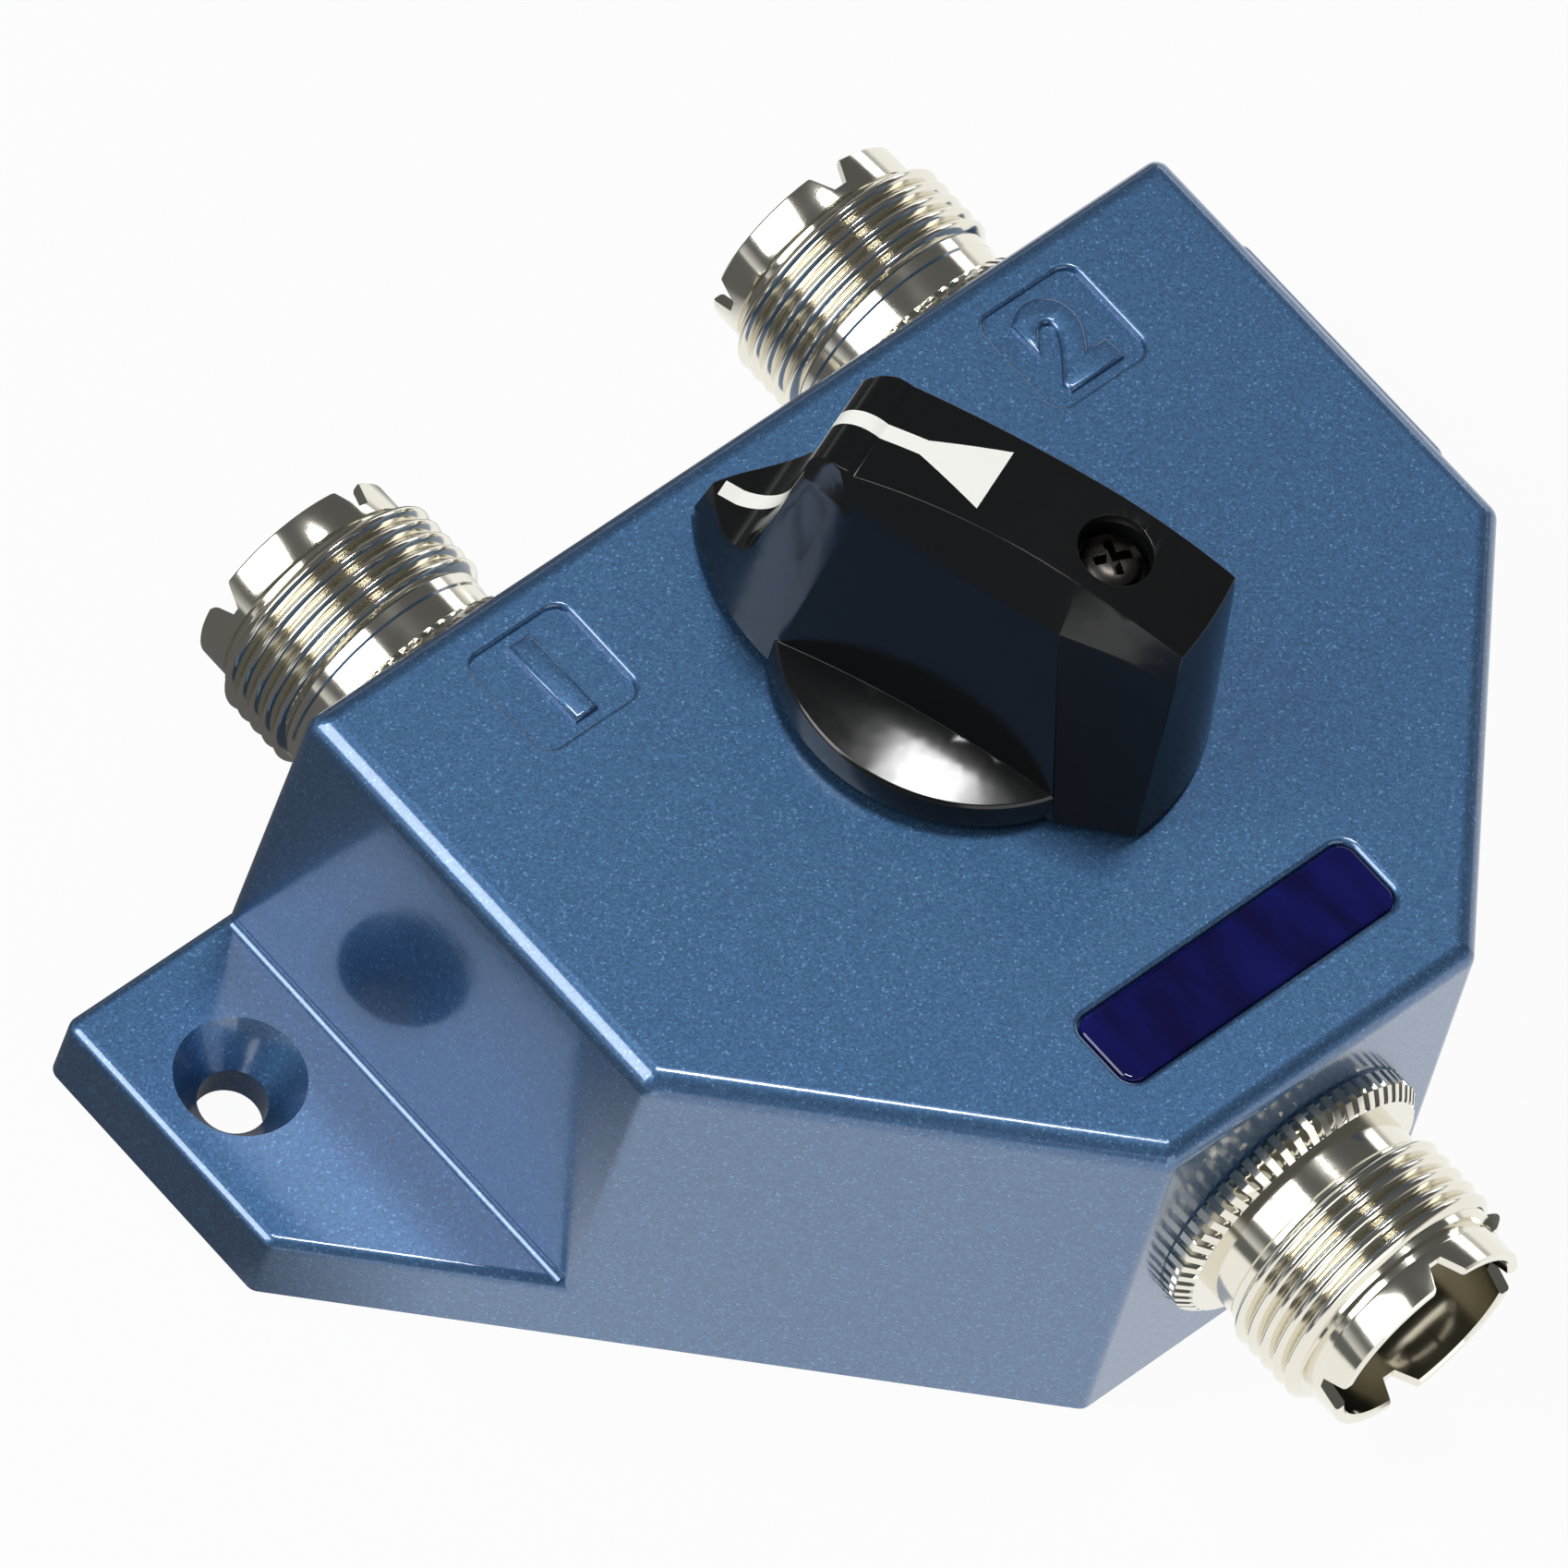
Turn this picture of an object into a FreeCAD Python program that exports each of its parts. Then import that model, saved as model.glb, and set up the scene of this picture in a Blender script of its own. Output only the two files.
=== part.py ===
import FreeCAD, Part
import math
import os

# Coaxial antenna switch: one common socket, two switched sockets, a pointer knob on top.
# Origin: base plane under the knob's axis. +Z up through the knob, +Y towards sockets A and B.

V = FreeCAD.Vector
UP = V(0, 0, 1)

# ---- housing ------------------------------------------------------------------------------
HEIGHT = 27.6                # base to top face
TOP_X = 33.2                 # half width of the top face
TOP_BACK = 19.3              # top edge of the A/B wall
TOP_FRONT = -31.9            # top edge of the common wall
TOP_CHAMFER = 43.7           # x - y along the 45 degree wall at the top
BASE_X = 34.2                # the same four at the base: the walls lean inwards as a casting does
BASE_BACK = 20.2
BASE_FRONT = -32.3
BASE_CHAMFER = 44.5
EDGE_R = 1.4                 # round of the top edge
CORNER_R = 0.9               # round of the upright corners
WALL = 3.0                   # wall thickness at socket height
ROOF = 3.2                   # thickness of the top
EAR_X = 46.5                 # half width over the ears
EAR_H = 5.2                  # ear thickness
EAR_EDGE_R = 0.7
EAR_HOLE_X = 40.36
EAR_HOLE_Y = 11.3
EAR_HOLE_R = 2.1
EAR_SINK_R = 3.95            # countersink radius at the ear's top
EAR_SINK_DEPTH = 2.9
PANEL_X = 19.82              # port panels: centre, size, corner and depth
PANEL_Y = 12.95
PANEL_SIZE = 7.4
PANEL_R = 1.1
PANEL_DEPTH = 0.4
PANEL_LIP_R = 0.25           # round of the panel's rim, and of the corner round its floor
BADGE_LIP_R = 0.4            # the same round on the badge's recess
BADGE_Y = -24.2
BADGE_LEN = 21.2
BADGE_WID = 5.2
BADGE_R = 1.1
BADGE_DEPTH = 0.6
BADGE_MARGIN = 0.05          # gap between the recess wall and the badge
BADGE_T = 0.5
BADGE_DOME = 0.3             # round of the badge's upper edge

# ---- bottom cover -------------------------------------------------------------------------
COVER_T = 1.6
COVER_LEDGE = 1.2            # width of the ledge the cover sits on
COVER_CLEAR = 0.1
POST_R = 3.2
COVER_POSTS = [(26.0, 2.5), (-26.0, 2.5), (10.5, -20.5), (-10.5, -20.5)]
COVER_SCREW_R = 1.5
COVER_SCREW_HEAD_R = 2.8
COVER_SCREW_LEN = 9.0

# ---- sockets ------------------------------------------------------------------------------
SOCKET_Z = 13.5
SEAT_BACK = 19.76            # the seats the flanges bear on, at socket height
SEAT_FRONT = -32.1
PORT_X = 20.0
FLANGE_R = 9.15
FLANGE_T = 1.9
SEAT_R = 9.35                # spot face cut in the drafted wall
NECK_R = 7.2
THREAD_START = 4.2
THREAD_END = 9.95
THREAD_R = 7.9
RIM_R = 6.93
RIM_END = 12.65
MOUTH_R = 6.2
RELIEF_R = 6.7               # thread run-out before the pilot
NOTCH_W = 1.9
NOTCH_DEPTH = 1.5
SHANK_R = 7.0
SHANK_BACK = -5.6            # inner end of the shank, behind the seat
NUT_T = 2.2
NUT_FLATS = 17.0
INS_R = 5.2
INS_SHOULDER = 1.8           # the insulator's shoulder and front face
INS_FRONT = 3.4
INS_BACK = -6.4
CONTACT_R = 2.7
CONTACT_BORE_R = 2.0
CONTACT_SHOULDER = 0.8
CONTACT_BORE_END = 3.6
CONTACT_FRONT = 11.9
CONTACT_SLIT = 0.5
CONTACT_SLIT_LEN = 5.5
TAIL_R = 1.5
TAIL_BACK = -10.6
NOTCH_TURN = {"a": 25.0, "b": 0.0, "common": 0.0}

# ---- switch level -------------------------------------------------------------------------
STRIP_T = 0.6                # the strips lie on the tails' flats, at socket height
STRIP_SETBACK = 0.5          # strip's end in front of the insulator
BLADE_T = 0.6
BLADE_W = 4.6
BLADE_REACH = 14.6
EYE_R = 6.5
STRIP_HALF = 2.0             # half width of the strip on the tail
PAD_HALF = 2.4               # half width of the pad that the blade's tip comes to rest on
PAD_OVER = 1.34              # the pad goes this far past the blade's tip
NUT_CLEAR = 0.6
COMMON_HALF = 2.5            # half width of the common strip
SPIGOT_R = 3.5
SPIGOT_CLEAR = 0.35
ROTOR_LIFT = 0.8             # rotor body above the common strip
ROTOR_R = 9.0
POINTER = 20.0               # the pointer stands this far from +Y towards A
TRAVEL = 40.0                # turn from A to B
GROUND_T = 0.6
GROUND_CLEAR = 0.4           # the arms' legs outside the rotor's rim
GROUND_W = 4.2
LUG_OVER = 0.4               # the lug reaches this far past the stop posts' circle
LUG_W = 3.4
LUG_ANGLE = 200.0
STOP_R = 1.7
STOP_CLEAR = 0.5             # stop posts outside the ground arms' legs
STOP_GAP = 0.05
DETENT_ANGLE = 270.0
DETENT_DEPTH = 0.9
DETENT_HALF = 1.3            # half width of the notch at the rim
SPRING_T = 0.4
SPRING_H = 3.0
SPRING_HALF = 16.0
SPRING_GAP = 0.7             # spring face behind the rotor's rim
SPRING_POST_X = 13.6
SPRING_POST_W = 4.8
SPRING_SCREW_R = 1.0

# ---- shaft line ---------------------------------------------------------------------------
SHAFT_R = 3.0
SHAFT_FIT = 0.04             # running clearance in the bush and washer
SHAFT_SEAT = 1.1             # rotor floor under the shaft's end
SHAFT_OVER = 7.3             # shaft's top above the knob's underside
FLAT = 2.4                   # distance from the axis to the shaft's flat
GROOVE_R = 2.3
CLIP_T = 0.6
CLIP_R = 4.6
CLIP_PLAY = 0.1
BUSH_R = 4.5
BUSH_LEN = 7.0
BUSH_FLANGE_R = 6.4
BUSH_FLANGE_T = 1.5
WASHER_R = 4.6
WASHER_T = 0.6

# ---- knob ---------------------------------------------------------------------------------
KNOB_GAP = 0.7               # knob's underside above the housing
SKIRT_R = 11.3
SKIRT_TOP_R = 11.15
SKIRT_H = 1.85               # skirt's rim above the knob's underside
SKIRT_DOME = 1.05            # rise of the domed top from the rim to the axis
SKIRT_EDGE = 0.15            # softening of the skirt's rim
BREAK_H = 13.9               # height where the side planes turn to the steeper bevel
BAR_H = 17.85                # top of the bar at its crown
CROWN_S = -1.5               # the crown's high point along the pointer
CROWN_R = 38.0
LIP_H = 3.2                  # nose: height of its lip, and where the lip starts and ends
LIP_S = 17.3
LIP_IN = 15.2
NOSE_S = 17.7                # nose tip at the underside
RECESS_IN = 7.3
RECESS_OUT = 9.8
RECESS_DEPTH = 1.4
SCREW_S = -6.37
SCREW_BORE_R = 2.25
SCREW_SINK = 2.4             # screw's seat below the bar's top
SCREW_HEAD_R = 1.85
SCREW_HEAD_T = 1.35
SCREW_HEAD_SOFT = 0.3
SCREW_R = 1.3
SCREW_LEN = 12.7
HUB_R = 4.2
HUB_H = 7.7
LUG_R = 2.4

STRIP_Z = SOCKET_Z
ROTOR_LOW = STRIP_Z + STRIP_T + ROTOR_LIFT
GROUND_LEG_R = ROTOR_R + GROUND_CLEAR
STOP_CIRCLE = GROUND_LEG_R + GROUND_T + STOP_CLEAR + STOP_R
LUG_REACH = STOP_CIRCLE + LUG_OVER
BUSH_LOW = HEIGHT - BUSH_LEN
GROOVE_TOP = BUSH_LOW
GROOVE_LOW = BUSH_LOW - CLIP_T - CLIP_PLAY
GROUND_LOW = GROOVE_LOW - GROUND_T
WASHER_TOP = HEIGHT + WASHER_T
KNOB_LOW = HEIGHT + KNOB_GAP
BAR_TOP = KNOB_LOW + BAR_H
SHAFT_LOW = ROTOR_LOW + SHAFT_SEAT
SHAFT_TOP = KNOB_LOW + SHAFT_OVER
HUB_TOP = KNOB_LOW + HUB_H
SCREW_SEAT = BAR_TOP - SCREW_SINK


def cyl(r, z0, z1, x=0.0, y=0.0):
    return Part.makeCylinder(r, z1 - z0, V(x, y, z0))


def box(x0, x1, y0, y1, z0, z1):
    return Part.makeBox(x1 - x0, y1 - y0, z1 - z0, V(x0, y0, z0))


def prism(points, z0, z1):
    wire = Part.makePolygon([V(x, y, z0) for x, y in points + points[:1]])
    return Part.Face(wire).extrude(V(0, 0, z1 - z0))


def spin(points):
    """Turned solid about Z from a closed (r, z) outline."""
    wire = Part.makePolygon([V(r, 0, z) for r, z in points + points[:1]])
    return Part.Face(wire).revolve(V(0, 0, 0), UP, 360)


def turned(shape, degrees):
    out = shape.copy()
    out.rotate(V(0, 0, 0), UP, degrees)
    return out


def save(name, shape):
    shape.exportStep("parts/" + name + ".step")


def lean(top, base, z):
    """A wall's position at height z between its base and top values."""
    return base + (top - base) * z / HEIGHT


def hexagon(z, inset=0.0):
    """The housing's plan at height z, with every wall moved inwards by inset."""
    x = lean(TOP_X, BASE_X, z) - inset
    back = lean(TOP_BACK, BASE_BACK, z) - inset
    front = lean(TOP_FRONT, BASE_FRONT, z) + inset
    chamfer = lean(TOP_CHAMFER, BASE_CHAMFER, z) - inset * math.sqrt(2)
    return [(x, back), (x, x - chamfer), (chamfer + front, front),
            (-chamfer - front, front), (-x, x - chamfer), (-x, back)]


def ruled(low, z0, high, z1):
    """Flat-faced solid between two plans whose matching sides are parallel."""
    a = [V(x, y, z0) for x, y in low]
    b = [V(x, y, z1) for x, y in high]
    n = len(a)
    rings = [a, b] + [[a[i], a[(i + 1) % n], b[(i + 1) % n], b[i]] for i in range(n)]
    faces = [Part.Face(Part.makePolygon(ring + ring[:1])) for ring in rings]
    return Part.makeSolid(Part.makeShell(faces))


def straight(z0, z1, inset):
    """Upright prism of the housing's plan taken at the base."""
    return prism(hexagon(0, inset), z0, z1)


def upright(shape, z_low, z_high, test):
    """Edges that run from z_low to z_high and whose middle passes the test."""
    out = []
    for e in shape.Edges:
        b = e.BoundBox
        if b.ZMax - b.ZMin > 0.8 * (z_high - z_low) and test(b.Center):
            out.append(e)
    return out


def level(shape, z):
    return [e for e in shape.Edges
            if abs(e.BoundBox.ZMin - z) < 1e-4 and abs(e.BoundBox.ZMax - z) < 1e-4]


def rounded_box(cx, cy, lx, ly, r, z0, z1):
    b = box(cx - lx / 2, cx + lx / 2, cy - ly / 2, cy + ly / 2, z0, z1)
    return b.makeFillet(r, upright(b, z0, z1, lambda c: True))


def ear_plan(z):
    x = EAR_X - (BASE_X - lean(TOP_X, BASE_X, z))
    back = lean(TOP_BACK, BASE_BACK, z)
    chamfer = lean(TOP_CHAMFER, BASE_CHAMFER, z)
    inner = BASE_X - 2 * WALL + 1.0
    return [(inner, back), (x, back), (x, x - chamfer), (inner, inner - chamfer)]


def ear():
    e = ruled(ear_plan(0), 0, ear_plan(EAR_H), EAR_H)
    e = e.makeFillet(CORNER_R, upright(e, 0, EAR_H, lambda c: c.x > EAR_X - 1))
    inner = BASE_X - 2 * WALL + 1.1
    rim = [k for k in level(e, EAR_H) if k.BoundBox.XMax > inner]
    return e.makeFillet(EAR_EDGE_R, rim)


def ear_hole():
    drill = cyl(EAR_HOLE_R, -1, EAR_H + 1, EAR_HOLE_X, EAR_HOLE_Y)
    sink = Part.makeCone(EAR_HOLE_R, EAR_SINK_R, EAR_SINK_DEPTH,
                         V(EAR_HOLE_X, EAR_HOLE_Y, EAR_H - EAR_SINK_DEPTH))
    mouth = cyl(EAR_SINK_R, EAR_H, EAR_H + 1, EAR_HOLE_X, EAR_HOLE_Y)
    return drill.fuse([sink, mouth])


def sunk(body, cx, cy, lx, ly, r, depth, lip):
    """The body with a shallow recess in its top face, its rim rounded over by lip."""
    out = body.cut(rounded_box(cx, cy, lx, ly, r, HEIGHT - depth, HEIGHT + 1))
    rim = []
    for e in level(out, HEIGHT):
        b = e.BoundBox
        if b.XMin > cx - lx / 2 - 0.01 and b.XMax < cx + lx / 2 + 0.01 and abs(b.Center.y - cy) < ly / 2 + 0.01:
            rim.append(e)
    return out.makeFillet(lip, rim)


def mirrored(shape):
    return shape.mirror(V(0, 0, 0), V(1, 0, 0))


def port(shape, name):
    """Place a socket piece made along +Z (0 at the seat, outwards positive) at its port."""
    out = turned(shape, NOTCH_TURN[name])
    side = 1 if name != "common" else -1
    out.rotate(V(0, 0, 0), V(1, 0, 0), -90 * side)
    x = {"a": -PORT_X, "b": PORT_X, "common": 0.0}[name]
    y = SEAT_BACK if side > 0 else SEAT_FRONT
    out.translate(V(x, y, SOCKET_Z))
    return out


def housing():
    body = ruled(hexagon(0), 0, hexagon(HEIGHT), HEIGHT)
    body = body.makeFillet(EDGE_R, level(body, HEIGHT))
    body = body.makeFillet(CORNER_R, upright(body, 0, HEIGHT, lambda c: True))
    for s in (-1, 1):
        body = sunk(body, s * PANEL_X, PANEL_Y, PANEL_SIZE, PANEL_SIZE, PANEL_R, PANEL_DEPTH, PANEL_LIP_R)
    body = sunk(body, 0, BADGE_Y, BADGE_LEN, BADGE_WID, BADGE_R, BADGE_DEPTH, BADGE_LIP_R)
    one_ear = ear()
    body = body.fuse([one_ear, mirrored(one_ear)]).removeSplitter()
    ceiling = HEIGHT - ROOF
    hollow = straight(COVER_T, ceiling, WALL)
    hollow = hollow.fuse(straight(-1, COVER_T, WALL - COVER_LEDGE))
    adds = [cyl(POST_R, COVER_T, ceiling, x, y) for x, y in COVER_POSTS]
    adds += [stop_post(1), stop_post(-1)] + [spring_post(s) for s in (1, -1)]
    hollow = hollow.cut(adds)
    body = body.cut(hollow)
    seats = [port(cyl(SEAT_R - 0.3, -WALL / 2, 0), n) for n in NOTCH_TURN]
    body = body.fuse(seats)
    hole = ear_hole()
    cuts = [hole, mirrored(hole)]
    cuts += [port(cyl(SEAT_R, 0, 3), n) for n in NOTCH_TURN]
    cuts += [port(cyl(SHANK_R, -2 * WALL, 1), n) for n in NOTCH_TURN]
    cuts += [port(cyl(SEAT_R + 1, -2 * WALL, -WALL), n) for n in NOTCH_TURN]
    cuts.append(cyl(BUSH_R, ceiling - 1, HEIGHT + 1))
    cuts += [spring_screw_hole(s) for s in (-1, 1)]
    for x, y in COVER_POSTS:
        cuts.append(cyl(COVER_SCREW_R, 0, COVER_SCREW_LEN, x, y))
    return body.cut(cuts).removeSplitter()


def stop_post(side):
    """Round post hanging from the roof that the rotor's lug comes up against."""
    reach = math.degrees(math.asin((LUG_W / 2 + STOP_R + STOP_GAP) / STOP_CIRCLE))
    a = math.radians(LUG_ANGLE + reach if side > 0 else LUG_ANGLE - TRAVEL - reach)
    return cyl(STOP_R, ROTOR_LOW + 0.3, HEIGHT - ROOF,
               STOP_CIRCLE * math.cos(a), STOP_CIRCLE * math.sin(a))


def spring_face():
    """y of the detent spring's inner face."""
    return -(ROTOR_R + SPRING_GAP)


def spring_z():
    return ROTOR_LOW + 0.6


def spring_post(side):
    x = side * SPRING_POST_X
    y = spring_face() - SPRING_T
    return box(x - SPRING_POST_W / 2, x + SPRING_POST_W / 2, y - SPRING_POST_W, y,
               spring_z(), HEIGHT - ROOF)


def along_y(r, x, z, y0, y1):
    return Part.makeCylinder(r, abs(y1 - y0), V(x, y0, z), V(0, 1 if y1 > y0 else -1, 0))


def spring_screw_hole(side):
    y = spring_face() - SPRING_T
    return along_y(SPRING_SCREW_R, side * SPRING_POST_X, spring_z() + SPRING_H / 2, y, y - 4.0)


def detent_spring():
    y = spring_face()
    tip = -(ROTOR_R - DETENT_DEPTH + 0.05)
    rise = tip - y
    half = DETENT_HALF * rise / DETENT_DEPTH
    front = [(-SPRING_HALF, y), (-half, y), (0, tip), (half, y), (SPRING_HALF, y)]
    back = [(SPRING_HALF, y - SPRING_T), (half, y - SPRING_T), (0, tip - SPRING_T),
            (-half, y - SPRING_T), (-SPRING_HALF, y - SPRING_T)]
    z = spring_z()
    leaf = prism(front + back, z, z + SPRING_H)
    for s in (-1, 1):
        leaf = leaf.cut(along_y(SPRING_SCREW_R, s * SPRING_POST_X, z + SPRING_H / 2, y - 1, y + 1))
    return leaf


def detent_screws():
    z = spring_z() + SPRING_H / 2
    y = spring_face()
    out = []
    for s in (-1, 1):
        head = along_y(1.4, s * SPRING_POST_X, z, y, y + 1.1)
        out.append(head.fuse(along_y(SPRING_SCREW_R, s * SPRING_POST_X, z, y, y - 4.0)))
    return Part.makeCompound(out)


def name_badge():
    lx = BADGE_LEN - 2 * BADGE_MARGIN
    ly = BADGE_WID - 2 * BADGE_MARGIN
    z0 = HEIGHT - BADGE_DEPTH
    b = rounded_box(0, BADGE_Y, lx, ly, BADGE_R - BADGE_MARGIN, z0, z0 + BADGE_T)
    return b.makeFillet(BADGE_DOME, level(b, z0 + BADGE_T))


def bottom_cover():
    gap = WALL - COVER_LEDGE + COVER_CLEAR
    plate = straight(0, COVER_T, gap)
    for x, y in COVER_POSTS:
        plate = plate.cut(Part.makeCone(COVER_SCREW_HEAD_R, COVER_SCREW_R, COVER_T, V(x, y, 0)))
    return plate


def cover_screws():
    out = []
    for x, y in COVER_POSTS:
        head = Part.makeCone(COVER_SCREW_HEAD_R, COVER_SCREW_R, COVER_T, V(x, y, 0))
        out.append(head.fuse(cyl(COVER_SCREW_R, COVER_T, COVER_SCREW_LEN, x, y)))
    return Part.makeCompound(out)


def socket_shell():
    s = spin([(INS_R, SHANK_BACK), (SHANK_R, SHANK_BACK), (SHANK_R, 0), (FLANGE_R, 0),
              (FLANGE_R, FLANGE_T), (NECK_R, FLANGE_T), (NECK_R, THREAD_START),
              (THREAD_R, THREAD_START), (THREAD_R, THREAD_END), (RELIEF_R, THREAD_END),
              (RELIEF_R, THREAD_END + 0.5), (RIM_R, THREAD_END + 0.5), (RIM_R, RIM_END),
              (MOUTH_R, RIM_END), (MOUTH_R, INS_SHOULDER), (INS_R, INS_SHOULDER)])
    for turn in (0, 90):
        notch = box(-NOTCH_W / 2, NOTCH_W / 2, -RIM_R - 1, RIM_R + 1, RIM_END - NOTCH_DEPTH, RIM_END + 1)
        s = s.cut(turned(notch, turn))
    return s


def socket_nut():
    r = NUT_FLATS / math.sqrt(3)
    pts = [(r * math.cos(math.radians(60 * k)), r * math.sin(math.radians(60 * k))) for k in range(6)]
    return prism(pts, -WALL - NUT_T, -WALL).cut(cyl(SHANK_R, -2 * WALL, 0))


def socket_insulator():
    s = spin([(TAIL_R, INS_BACK), (INS_R, INS_BACK), (INS_R, INS_SHOULDER), (MOUTH_R, INS_SHOULDER),
              (MOUTH_R, INS_FRONT), (CONTACT_R, INS_FRONT), (CONTACT_R, CONTACT_SHOULDER),
              (TAIL_R, CONTACT_SHOULDER)])
    return s


def centre_contact(name):
    c = spin([(0, TAIL_BACK), (TAIL_R, TAIL_BACK), (TAIL_R, CONTACT_SHOULDER),
              (CONTACT_R, CONTACT_SHOULDER), (CONTACT_R, CONTACT_FRONT), (CONTACT_BORE_R, CONTACT_FRONT),
              (CONTACT_BORE_R, CONTACT_BORE_END), (0, CONTACT_BORE_END)])
    for turn in (45, 135):
        slit = box(-CONTACT_SLIT / 2, CONTACT_SLIT / 2, -CONTACT_R - 1, CONTACT_R + 1,
                   CONTACT_FRONT - CONTACT_SLIT_LEN, CONTACT_FRONT + 1)
        c = c.cut(turned(slit, turn))
    c = port(c, name)
    x = {"a": -PORT_X, "b": PORT_X, "common": 0.0}[name]
    side = 1 if name != "common" else -1
    seat = SEAT_BACK if side > 0 else SEAT_FRONT
    ys = sorted([seat + side * (TAIL_BACK - 1), seat + side * (INS_BACK - 0.3)])
    return c.cut(box(x - 3, x + 3, ys[0], ys[1], STRIP_Z, STRIP_Z + 3))


def contact_strip_b():
    """Flat strip from port B's tail to the place where the blade's tip comes to rest."""
    y0 = SEAT_BACK + TAIL_BACK
    y1 = SEAT_BACK + INS_BACK - STRIP_SETBACK
    turn = math.radians(TRAVEL - POINTER)
    pad_x = BLADE_REACH * math.sin(turn)
    pad_y = BLADE_REACH * math.cos(turn) + PAD_OVER
    nut_x = PORT_X - NUT_FLATS / math.sqrt(3) - NUT_CLEAR
    pts = [(PORT_X + STRIP_HALF, y0), (PORT_X + STRIP_HALF, y1), (nut_x, y1),
           (pad_x + PAD_HALF, pad_y), (pad_x - PAD_HALF, pad_y),
           (pad_x - PAD_HALF, y0 + PAD_HALF), (pad_x, y0)]
    return prism(pts, STRIP_Z, STRIP_Z + STRIP_T)


def contact_strip_common():
    """Strip from the common tail, ending in an eye round the rotor's spigot."""
    y0 = SEAT_FRONT - INS_BACK + STRIP_SETBACK
    bar = box(-COMMON_HALF, COMMON_HALF, y0, -SPIGOT_R, STRIP_Z, STRIP_Z + STRIP_T)
    eye = cyl(EYE_R, STRIP_Z, STRIP_Z + STRIP_T)
    return bar.fuse(eye).cut(cyl(SPIGOT_R + SPIGOT_CLEAR, STRIP_Z - 1, STRIP_Z + 2)).removeSplitter()


def rotor_blade():
    """Live blade: wipes on the eye all round and reaches out to strip A or B."""
    arm = box(0, BLADE_REACH, -BLADE_W / 2, BLADE_W / 2, STRIP_Z - BLADE_T, STRIP_Z)
    arm = arm.makeFillet(1.0, upright(arm, 0, BLADE_T, lambda c: c.x > BLADE_REACH - 1))
    blade = arm.fuse(cyl(EYE_R, STRIP_Z - BLADE_T, STRIP_Z)).removeSplitter()
    blade = blade.cut(cyl(SCREW_R, STRIP_Z - 2, STRIP_Z + 1))
    return turned(blade, 90 + POINTER)


def keyed(r, z0, z1):
    """Shaft-shaped plug with its flat towards the pointer's tail."""
    d = cyl(r, z0, z1).cut(box(-10, -FLAT, -10, 10, z0, z1))
    return turned(d, 90 + POINTER)


def ground_arms():
    """Earthed plate on the shaft: one arm lies on the strip of the port not in use."""
    top = GROUND_LOW + GROUND_T
    foot = STRIP_Z + STRIP_T
    plate = cyl(CLIP_R + 1.0, GROUND_LOW, top)
    for a in (-TRAVEL, TRAVEL):
        arm = box(0, GROUND_LEG_R + GROUND_T, -GROUND_W / 2, GROUND_W / 2, GROUND_LOW, top)
        leg = box(GROUND_LEG_R, GROUND_LEG_R + GROUND_T, -GROUND_W / 2, GROUND_W / 2, foot, top)
        toe = box(GROUND_LEG_R, BLADE_REACH, -GROUND_W / 2, GROUND_W / 2, foot, foot + GROUND_T)
        plate = plate.fuse(turned(arm.fuse([leg, toe]), 90 + POINTER + a))
    return plate.cut(keyed(SHAFT_R, GROUND_LOW - 1, top + 1)).removeSplitter()


def rotor():
    """Insulating rotor with detent notches, a stop lug and a spigot through the common eye."""
    body = cyl(ROTOR_R, ROTOR_LOW, GROUND_LOW).fuse(cyl(SPIGOT_R, STRIP_Z, ROTOR_LOW))
    lug = box(ROTOR_R - 2, LUG_REACH, -LUG_W / 2, LUG_W / 2, ROTOR_LOW + 0.6, GROUND_LOW)
    body = body.fuse(turned(lug, LUG_ANGLE))
    notch = prism([(ROTOR_R - DETENT_DEPTH, 0), (ROTOR_R + 1, -DETENT_HALF * (1 + 1 / DETENT_DEPTH)),
                   (ROTOR_R + 1, DETENT_HALF * (1 + 1 / DETENT_DEPTH))], ROTOR_LOW - 1, GROUND_LOW + 1)
    for a in (DETENT_ANGLE, DETENT_ANGLE + TRAVEL):
        body = body.cut(turned(notch, a))
    body = body.cut(keyed(SHAFT_R, SHAFT_LOW, GROUND_LOW + 1))
    return body.cut(cyl(SCREW_R, STRIP_Z - 1, SHAFT_LOW - 0.3)).removeSplitter()


def rotor_screw():
    low = STRIP_Z - BLADE_T
    head = spin([(0, low - 1.6), (1.6, low - 1.6), (2.3, low - 1.0), (2.3, low), (0, low)])
    return head.fuse(cyl(SCREW_R, low, SHAFT_LOW - 0.4))


def shaft():
    s = cyl(SHAFT_R, SHAFT_LOW, SHAFT_TOP)
    s = s.cut(cyl(SHAFT_R + 1, GROOVE_LOW, GROOVE_TOP).cut(cyl(GROOVE_R, GROOVE_LOW - 1, GROOVE_TOP + 1)))
    flats = [(SHAFT_LOW, GROOVE_LOW), (WASHER_TOP, SHAFT_TOP)]
    for z0, z1 in flats:
        s = s.cut(turned(box(-10, -FLAT, -10, 10, z0, z1), 90 + POINTER))
    return s


def retaining_clip():
    """E clip in the shaft's groove, open on one side."""
    z0 = GROOVE_LOW
    c = cyl(CLIP_R, z0, z0 + CLIP_T).cut(cyl(GROOVE_R, z0 - 1, z0 + 1))
    c = c.cut(box(-GROOVE_R * 0.85, GROOVE_R * 0.85, -10, 0, z0 - 1, z0 + 1))
    for s in (-1, 1):
        c = c.cut(cyl(0.9, z0 - 1, z0 + 1, s * 2.6, 1.2))
    return c


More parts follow.
